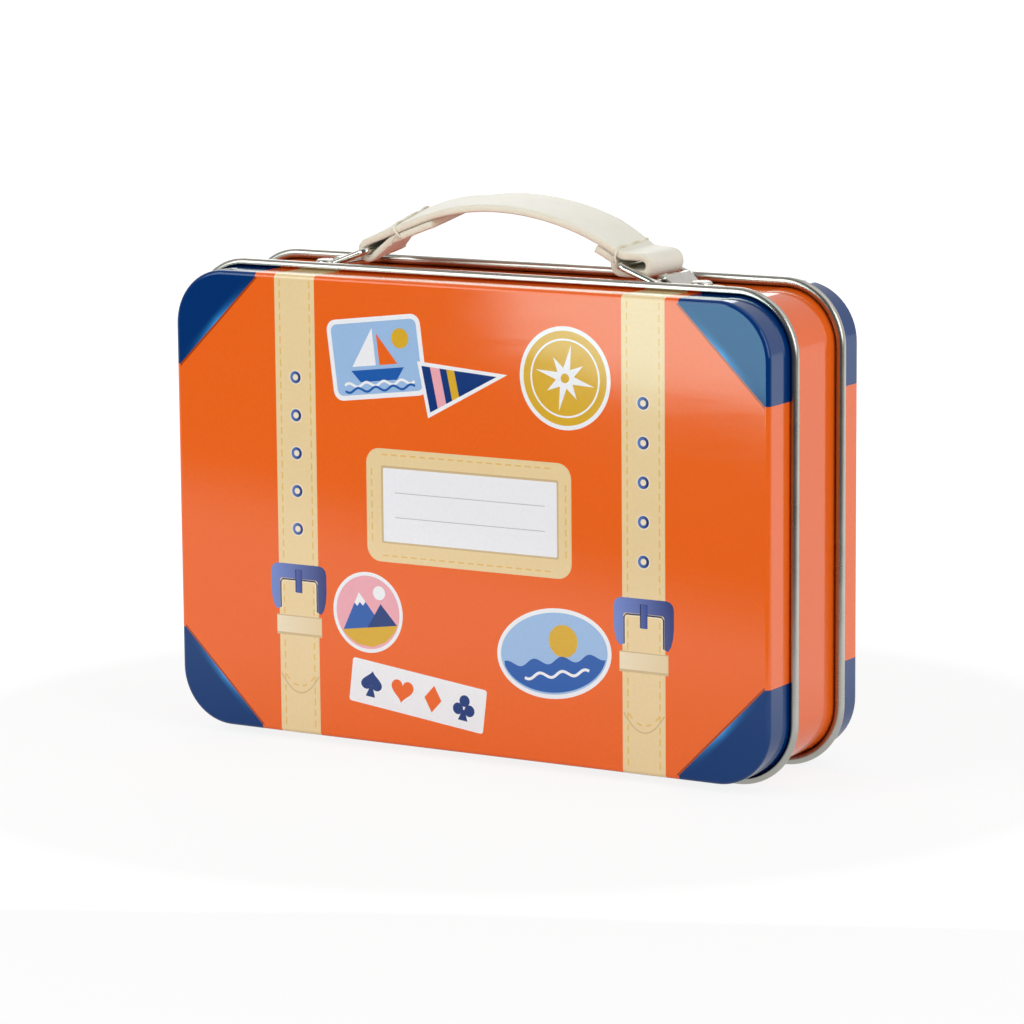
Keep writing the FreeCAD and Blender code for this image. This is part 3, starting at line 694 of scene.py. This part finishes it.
def make_cover(name, side, layers, inks):
    """One cover: a flat face with its print, and the sheet's section carried round it.

    Points of the section are the wall's points moved by the row's offset along the wall's normal.
    """
    line, outward = wall_line()
    count = len(line)
    edge_of_face = line - FACE_ROUND * outward
    face_points, triangles, face_inks, on_edge = cut_face([("orange", edge_of_face)] + layers, count)
    ink_names = list(inks)
    printed, bare = sheet_profile()
    rows = np.concatenate([printed, bare])
    depth = rows[1:, 1]
    moved = line[None, :, :] + rows[1:, None, :1] * outward[None, :, :]
    wall_points = np.stack([moved[..., 0], np.tile(depth[:, None], (1, count)), moved[..., 1]], axis=-1)
    wall_normals = np.stack(
        [
            rows[1:, None, 2] * outward[None, :, 0],
            np.tile(rows[1:, None, 3], (1, count)),
            rows[1:, None, 2] * outward[None, :, 1],
        ],
        axis=-1,
    )
    points = np.concatenate([face_points, wall_points.reshape(-1, 3)])
    flat_normals = np.tile((0.0, -1.0, 0.0), (len(face_points), 1))
    normals = np.concatenate([flat_normals, wall_normals.reshape(-1, 3)])

    grid = np.arange(len(rows) - 1)[:, None] * count + np.arange(count)[None, :] + len(face_points)
    grid = np.concatenate([on_edge[None, :], grid])
    beside = np.roll(grid, -1, axis=1)
    quads = np.stack([grid[:-1], grid[1:], beside[1:], beside[:-1]], axis=-1)
    wall_inks = [ink_names.index(wall_ink(middle)) for middle in (line + np.roll(line, -1, axis=0)) / 2]
    tin = ink_names.index("tin")
    quad_inks = np.tile(np.array(wall_inks), (len(rows) - 1, 1))
    quad_inks[len(printed) - 1:] = tin

    faces = triangles + quads.reshape(-1, 4).tolist() + [grid[-1][::-1].tolist()]
    finish_of_face = [ink_names.index(ink) for ink in face_inks] + quad_inks.ravel().tolist() + [tin]
    loops = np.fromiter(chain.from_iterable(faces), int)
    loop_normals = normals[loops]
    # The cut edge of the sheet, between its printed and its bare side, has flat normals of its own.
    first = 3 * len(triangles) + 4 * count * (len(printed) - 1)
    edge = quads[len(printed) - 1].reshape(-1, 4)
    slope = np.cross(points[edge[:, 2]] - points[edge[:, 0]], points[edge[:, 3]] - points[edge[:, 1]])
    slope /= np.linalg.norm(slope, axis=1, keepdims=True)
    loop_normals[first:first + 4 * count] = np.repeat(slope, 4, axis=0)
    nearest = np.where(points[:, 0] < 0, STRAP_CENTRES[0], STRAP_CENTRES[1])
    across = points[:, 0] - nearest

    points[:, 1] = side * (FACE_Y - points[:, 1])
    if side > 0:
        faces = [face[::-1] for face in faces]
        sizes = np.array([len(face) for face in faces])
        ends = np.cumsum(sizes)
        order = np.repeat(ends - 1, sizes) - (np.arange(len(loops)) - np.repeat(ends - sizes, sizes))
        loop_normals = loop_normals[order] * (1, -1, 1)
    return new_piece(
        name, points, faces, list(inks.values()), finish_of_face, loop_normals, across=across
    )


def ray(degrees, length=1.0):
    """A vector of the side view, at an angle from X."""
    return length * np.array([math.cos(math.radians(degrees)), math.sin(math.radians(degrees))])


def bearing(vector):
    """The angle of a vector of the side view, in degrees from X."""
    return math.degrees(math.atan2(vector[1], vector[0]))


def strap_path():
    """Side view of the strap, as in the part's source: lines and arcs from one cut end to the other.

    The left end folds tightly round its loop's bar, and the right end makes a level eye.
    Returns the lower left flap, the upper run and the right fold, each a list of lines and arcs.
    """
    reach = ray(LOOP_REST, LOOP_REACH)
    bar_x = PIVOT[0] - reach[0]
    bar_z = PIVOT[1] + reach[1]
    travel = 2 * (reach[0] - ray(LOOP_REST + LOOP_SWING, LOOP_REACH)[0])
    crown = COVER_TOP + CROWN_RATIO * PIVOT[0] - STRAP_GAUGE / 2

    left_bar = np.array([-bar_x, bar_z])
    slope = SLOPE_RATIO * math.degrees(math.atan2(crown - bar_z - FOLD, bar_x))
    up = ray(90 + slope)
    along = ray(slope)
    left_radius = (along[1] * bar_x + along[0] * (bar_z - crown) + FOLD) / (1 - along[0])
    left_centre = np.array([0, crown - left_radius])
    shoulder = left_centre + up * left_radius
    neck = left_bar + up * (FOLD - LAYER) + along * NECK_RUN
    neck_centre = neck - up * NECK_BEND
    apart = left_bar - neck_centre
    lower = bearing(apart) - math.degrees(math.acos((NECK_BEND + FOLD) / np.linalg.norm(apart)))
    flap_start = shoulder - up * LAYER
    flap_turn = math.degrees((LEFT_FLAP - np.linalg.norm(flap_start - neck)) / (left_radius - LAYER))
    flap = [
        ("arc", left_centre, left_radius - LAYER, 90 + slope - flap_turn, 90 + slope),
        ("line", flap_start, neck),
        ("arc", neck_centre, NECK_BEND, 90 + slope, lower),
        ("line", neck_centre + ray(lower, NECK_BEND), left_bar - ray(lower, FOLD)),
        ("arc", left_bar, FOLD, lower + 180, 90 + slope),
    ]

    right_bar = np.array([bar_x, bar_z])
    tip = right_bar + (travel, 0)
    level = np.array([0, FOLD])
    dip_x = bar_x + DIP_PAST_BAR
    fall = crown - bar_z - FOLD - DIP_BEND
    right_radius = (dip_x ** 2 + fall ** 2 - DIP_BEND ** 2) / (2 * (DIP_BEND + fall))
    right_centre = np.array([0, crown - right_radius])
    dip_centre = np.array([dip_x, bar_z + FOLD + DIP_BEND])
    dip_angle = bearing(dip_centre - right_centre)
    flap_radius = right_radius - LAYER
    to_bar = right_bar - right_centre
    span = np.linalg.norm(to_bar)
    side_a = flap_radius - TUCK_BEND
    side_b = FOLD + TUCK_BEND
    lean = math.acos((side_a ** 2 + span ** 2 - side_b ** 2) / (2 * side_a * span))
    tuck_angle = bearing(to_bar) + math.degrees(lean)
    tuck_centre = right_centre + ray(tuck_angle, side_a)
    round_bar = bearing(tuck_centre - right_bar) % 360
    right_turn = math.degrees(RIGHT_FLAP / flap_radius)
    top = [
        ("line", left_bar + up * FOLD, shoulder),
        ("arc", left_centre, left_radius, 90 + slope, 90),
        ("arc", right_centre, right_radius, 90, dip_angle),
        ("arc", dip_centre, DIP_BEND, dip_angle + 180, 270),
        ("line", dip_centre - (0, DIP_BEND), tip + level),
    ]
    fold = [
        ("arc", tip, FOLD, 90, -90),
        ("line", tip - level, right_bar - level),
        ("arc", right_bar, FOLD, 270, round_bar),
        ("arc", tuck_centre, TUCK_BEND, round_bar - 180, tuck_angle),
        ("arc", right_centre, flap_radius, tuck_angle, tuck_angle + right_turn),
    ]
    return flap, top, fold


def walk(path, step=0.45):
    """Points along lines and arcs, about one step apart, without doubles where they meet."""
    runs = []
    for piece in path:
        if piece[0] == "line":
            length = np.linalg.norm(piece[2] - piece[1])
            share = np.linspace(0, 1, max(2, int(length / step) + 1))[:, None]
            run = piece[1] + share * (piece[2] - piece[1])
        else:
            _, centre, radius, first, last = piece
            length = abs(math.radians(last - first)) * radius
            turns = np.radians(np.linspace(first, last, max(7, int(length / step) + 1)))
            run = centre + radius * np.stack([np.cos(turns), np.sin(turns)], axis=-1)
        runs.append(run if not runs else run[1:])
    return np.concatenate(runs)


def carry(profile, centres, first_axis, second_axis):
    """Carry a closed profile along a path, and close both ends.

    A point is the station's centre + a * the first axis + b * the second axis.
    """
    points = (
        centres[:, None, :]
        + profile[None, :, :1] * first_axis[:, None, :]
        + profile[None, :, 1:] * second_axis[:, None, :]
    )
    stations, around = points.shape[:2]
    grid = np.arange(stations * around).reshape(stations, around)
    beside = np.roll(grid, -1, axis=1)
    faces = np.stack([grid[:-1], beside[:-1], beside[1:], grid[1:]], axis=-1).reshape(-1, 4).tolist()
    faces += [grid[0][::-1].tolist(), grid[-1].tolist()]
    return points.reshape(-1, 3), faces


def tip_over(points):
    """Lift points by their place across the strap, so that the far edge stands higher than the near one.

    The lift is the distance from the near edge times the tangent of a lean that depends on X alone:
    little at both bars, most over the left flap, and steady along the arch.
    """
    places, degrees = zip(*LEAN)
    lift = np.tan(np.radians(np.interp(points[:, 0], places, degrees))) * (points[:, 1] + STRAP_WIDTH / 2)
    return points + lift[:, None] * (0, 0, 1)


def make_strap(finish):
    """The strap: a flat section with rounded edges, 14 by 1.6 mm, carried along the folded path."""
    flap, top, fold = strap_path()
    line = walk(flap + top + fold)
    step = np.gradient(line, axis=0)
    step /= np.linalg.norm(step, axis=1, keepdims=True)
    centres = np.stack([line[:, 0], np.zeros(len(line)), line[:, 1]], axis=-1)
    first = np.tile((0.0, 1.0, 0.0), (len(line), 1))
    second = np.stack([-step[:, 1], np.zeros(len(line)), step[:, 0]], axis=-1)
    edge = 0.55
    cut_depth = 0.3
    half_angle = np.linspace(0, math.pi / 2, 5)
    flat = np.linspace(-STRAP_WIDTH / 2 + edge, STRAP_WIDTH / 2 - edge, 12)
    arcs = []
    for quarter, (way_a, way_b) in enumerate(((1, 1), (-1, 1), (-1, -1), (1, -1))):
        angles = half_angle + quarter * math.pi / 2
        arcs.append(
            np.stack([np.cos(angles), np.sin(angles)], axis=-1) * edge
            + (way_a * (STRAP_WIDTH / 2 - edge), way_b * (STRAP_GAUGE / 2 - edge))
        )
    inner = flat[1:-1]
    over = np.stack([inner[::-1], np.full_like(inner, STRAP_GAUGE / 2)], axis=-1)
    under = np.stack([inner, np.full_like(inner, -STRAP_GAUGE / 2)], axis=-1)
    profile = np.concatenate([arcs[0], over, arcs[1], arcs[2], under, arcs[3]])
    points, faces = carry(profile, centres, first, second)
    cut = np.tile((np.abs(profile[:, 0]) > STRAP_WIDTH / 2 - cut_depth).astype(float), (len(line), 1))
    cut[0] = 1
    cut[-1] = 1
    return new_piece("sewn_strap", tip_over(points), faces, [finish], cut_edge=cut.ravel())


def make_thread(name, line, radius, finish):
    """A thread: a circle of eight points carried along a line, on two axes square to it."""
    line = np.asarray(line, float)
    step = np.gradient(line, axis=0)
    step /= np.linalg.norm(step, axis=1, keepdims=True)
    helper = np.tile((0.36, 0.48, 0.8), (len(line), 1))
    first = np.cross(step, helper)
    first /= np.linalg.norm(first, axis=1, keepdims=True)
    second = np.cross(step, first)
    points, faces = carry(oval_outline(radius, count=8), line, first, second)
    return new_piece(name, points, faces, [finish])


def seam_line(place, slant):
    """A seam's thread: stitches over the upper face from back to front, then down over the near edge.

    Over the face the thread rises and sinks as a rounded wave, four stitches across the width.
    """
    far_side = 6.6
    near_side = 6.9
    run = walk(strap_path()[1], 0.2)
    centre = np.array([place, np.interp(place, run[:, 0], run[:, 1])])
    ahead = np.array([place + 0.5, np.interp(place + 0.5, run[:, 0], run[:, 1])])
    along = (ahead - centre) / np.linalg.norm(ahead - centre)
    up = np.array([-along[1], along[0]])
    across = np.linspace(far_side, -near_side, 80)
    waves = np.sin((across + near_side) / (far_side + near_side) * math.pi * 4)
    lift = 0.62 + 0.3 * np.abs(waves) ** 0.5
    over = np.stack([slant * across, across, lift + 0.16], axis=-1)
    turn = np.linspace(0, math.pi, 16)
    near = np.stack(
        [
            slant * -near_side + 0.25 * turn,
            -near_side - 0.42 * np.sin(turn) ** 0.6,
            np.linspace(over[-1, 2], -1.9, 16),
        ],
        axis=-1,
    )
    local = np.concatenate([over, near[1:]])
    flat = centre[None, :] + local[:, :1] * along + local[:, 2:] * up
    return tip_over(np.stack([flat[:, 0], local[:, 1], flat[:, 1]], axis=-1))


def loose_end(start, lean, drop):
    """A cut thread end: it leaves the seam at its start, bows out and hangs."""
    share = np.linspace(0, 1, 16)
    return np.stack(
        [
            start[0] + lean * share ** 1.5,
            start[1] - 0.5 * np.sin(share * math.pi / 2),
            start[2] - drop * share ** 1.3,
        ],
        axis=-1,
    )


def make_floor():
    """A white table: shaded near the object, and plain white in the distance.

    In reflections it is dimmer close to the object, a painted shade round its base, white further off, and
    dark from 0.2 m before the lid.
    """
    finish, tree, surface = new_finish("white_table")
    fill(tree, surface, {"Base Color": srgb("f4f4f4"), "Roughness": 0.9})
    place = object_place(tree)
    away = reckon_vector(tree, "LENGTH", place)
    glow = add_node(
        tree,
        "ShaderNodeMapRange",
        {0: away, 1: 0.12, 2: 0.45, 3: 0.86, 4: 1.0},
        interpolation_type="SMOOTHSTEP",
    )
    path = add_node(tree, "ShaderNodeLightPath").outputs
    mirrored = reckon(tree, "MAXIMUM", path["Is Glossy Ray"], path["Is Transmission Ray"])
    share = remap(tree, path["Is Camera Ray"], mirrored, glow.outputs[0])
    front = reckon_vector(tree, "DOT_PRODUCT", place, (0.45, -1, 0))
    dark = remap(tree, front, 1.0, 0.05, 0.15, 0.21)
    # Painted shade round the object's base, seen in reflections: the floor's glow dims close to it.
    near = remap(tree, away, 0.5, 1.15, 0.03, 0.15)
    level = reckon(tree, "MAXIMUM", reckon(tree, "MULTIPLY", dark, near), path["Is Camera Ray"])
    white = add_node(tree, "ShaderNodeEmission", {"Color": (1, 1, 1, 1), "Strength": level})
    mixed = add_node(tree, "ShaderNodeMixShader", {0: share, 1: surface.outputs[0], 2: white.outputs[0]})
    tree.links.new(mixed.outputs[0], tree.nodes["Material Output"].inputs["Surface"])
    reach = 20000.0
    corners = [(-reach, -reach, 0), (reach, -reach, 0), (reach, reach, 0), (-reach, reach, 0)]
    floor = new_piece("table", np.array(corners), [[0, 1, 2, 3]], [finish])


def make_world():
    """Surroundings: white in the picture, a soft fill light, and in reflections a room dark in front."""
    world = bpy.data.worlds.new("studio")
    bpy.context.scene.world = world
    world.use_nodes = True
    tree = world.node_tree
    path = add_node(tree, "ShaderNodeLightPath").outputs
    mirrored = reckon(tree, "MAXIMUM", path["Is Glossy Ray"], path["Is Transmission Ray"])
    seen = reckon(tree, "MAXIMUM", path["Is Camera Ray"], mirrored)
    way = axis_parts(tree, add_node(tree, "ShaderNodeTexCoord").outputs["Generated"])
    room = remap(tree, way[1], 0.12, 0.75, -0.5, 0.35)
    shown = reckon(tree, "MAXIMUM", room, path["Is Camera Ray"])
    fill_strength = 0.4
    strength = remap(tree, seen, fill_strength, shown)
    fill(tree, tree.nodes["Background"], {"Color": (1, 1, 1, 1), "Strength": strength})


def softbox(name, place, aim, width, height, watts):
    """A rectangular soft light in metres, turned to its aim and hidden from the camera."""
    light = bpy.data.lights.new(name, "AREA")
    light.shape = "RECTANGLE"
    light.size = width
    light.size_y = height
    light.energy = watts
    lamp = bpy.data.objects.new(name, light)
    lamp.location = place
    lamp.rotation_euler = (Vector(aim) - Vector(place)).to_track_quat("-Z", "Y").to_euler()
    lamp.visible_camera = False
    bpy.context.scene.collection.objects.link(lamp)
    return lamp


def make_lights():
    """Four soft lights on the object, and a low card that only the gloss shows.

    The card gives the upper right of the lid its soft sheen, with a slanting lower edge.
    """
    middle = (0, 0, 0.05)
    softbox("key_light", (-0.55, -0.75, 0.55), middle, 0.6, 0.6, 4.3)
    softbox("top_light", (0.45, 0.1, 1.0), middle, 0.9, 0.9, 1.7)
    softbox("side_light", (0.95, -0.3, 0.45), middle, 0.5, 0.7, 3.8)
    softbox("back_light", (-0.6, 0.9, 0.6), middle, 0.6, 0.6, 2.6)
    card = softbox("low_card", (-0.179, -0.46, 0.106), (-0.834, 0.296, 0.106), 0.42, 0.2, 1.4)
    card.rotation_euler.rotate_axis("Z", math.radians(4))
    card.data.color = (0.7, 1.0, 0.97)
    card.visible_diffuse = False


def make_camera():
    """The photograph's view: 30.7 degrees to the right, 9.6 degrees down, at 156 mm on a 36 mm frame."""
    yaw, pitch, roll = (math.radians(angle) for angle in (30.723, 9.621, -0.487))
    eye = (0.46903, -0.78905, 0.20533)
    focal_pixels = 4439.19
    frame_pixels = 1024
    ahead = Vector((-math.sin(yaw) * math.cos(pitch), math.cos(yaw) * math.cos(pitch), -math.sin(pitch)))
    level = Vector((math.cos(yaw), math.sin(yaw), 0))
    upright = level.cross(ahead)
    right = math.cos(roll) * level + math.sin(roll) * upright
    up = math.cos(roll) * upright - math.sin(roll) * level
    data = bpy.data.cameras.new("photo_view")
    data.sensor_width = 36.0
    data.lens = focal_pixels / frame_pixels * data.sensor_width
    data.clip_end = 100.0
    camera = bpy.data.objects.new("photo_view", data)
    turn = Matrix((right, up, -ahead)).transposed()
    camera.matrix_world = Matrix.Translation(eye) @ turn.to_4x4()
    bpy.context.scene.collection.objects.link(camera)
    bpy.context.scene.camera = camera


inks = {
    "orange": printed_ink("lithographed_orange", "f1671a"),
    "patch": patch_ink(),
    "cream": printed_ink("lithographed_cream", "edd4a2"),
    "keeper": printed_ink("lithographed_keeper", "f0e1c1", "e6d1a6", (-5, 5)),
    "pale": printed_ink("lithographed_pale_cream", "f3e6c8"),
    "tan": printed_ink("lithographed_tan", "d3b98c"),
    "stitch": printed_ink("lithographed_stitch", "e6bd6a"),
    "buckle": printed_ink("lithographed_buckle", "7389cc", "2a3878", (-6.5, 6.5)),
    "prong": printed_ink("lithographed_prong", "4a5fae", "33458e", (-0.8, 0.8)),
    "eyelet": printed_ink("lithographed_eyelet", "5f7fc6", "1f2f70", (-1.2, 1.2)),
    "shade": printed_ink("lithographed_shade", "a8420f"),
    "deep": printed_ink("lithographed_deep_blue", "16224f"),
    "white": printed_ink("lithographed_white", "f2f3f6"),
    "grey": printed_ink("lithographed_grey", "b9bbc0"),
    "mustard": printed_ink("lithographed_mustard", "dcae2c"),
    "navy": printed_ink("lithographed_navy", "12377a"),
    "blue": printed_ink("lithographed_blue", "1f5cae"),
    "sky": printed_ink("lithographed_sky", "9dbfe6"),
    "pink": printed_ink("lithographed_pink", "efabb6"),
    "tin": bare_tin(),
}

stickers = [
    (ink, turn_and_place(shape, centre, tilt))
    for layers, centre, tilt in sticker_layers()
    for ink, shape in layers
]
back_straps = [strap_body(centre) for centre in STRAP_CENTRES]
back_stitches = list(chain.from_iterable(strap_stitches(centre) for centre in STRAP_CENTRES))
lid = make_cover("printed_lid", -1, patch_layers() + stickers + luggage_layers(), inks)
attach(lid, "lid")
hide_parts("front_lid")
back = make_cover("printed_back", 1, patch_layers() + back_straps + back_stitches, inks)
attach(back, "case")
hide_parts("back_cover")

strap = make_strap(strap_finish())
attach(strap, "handle")
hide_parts("handle_strap")
thread = thread_finish()
for name, place, slant, end_lean in SEAMS:
    line = seam_line(place, slant)
    seam = make_thread(name, line, THREAD_RADIUS, thread)
    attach(seam, "handle")
    end = make_thread(name + "_end", loose_end(line[-8], end_lean, END_DROP), END_RADIUS, thread)
    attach(end, "handle")

plate = nickel("nickel_plate_stamped", 0.16)
wire = nickel("nickel_plate_wire", 0.12)
finish_of_node = {
    "body_band": band_finish(),
    "left_card_deck": card_paper("coated_card_blue", (-DECK_X, DECK_Z), "1d4f9c"),
    "right_card_deck": card_paper("coated_card_red", (DECK_X, DECK_Z), "c8452a"),
}
for word in ("left", "right"):
    for part in ("bracket", "rivet", "rivet_washer"):
        finish_of_node[f"{word}_{part}"] = plate
    finish_of_node[f"{word}_wire_loop"] = wire
for name, finish in finish_of_node.items():
    for mesh_slot in nodes[name].material_slots:
        mesh_slot.material = finish

make_floor()
make_world()
make_lights()
make_camera()
bpy.context.scene.view_settings.view_transform = "Standard"
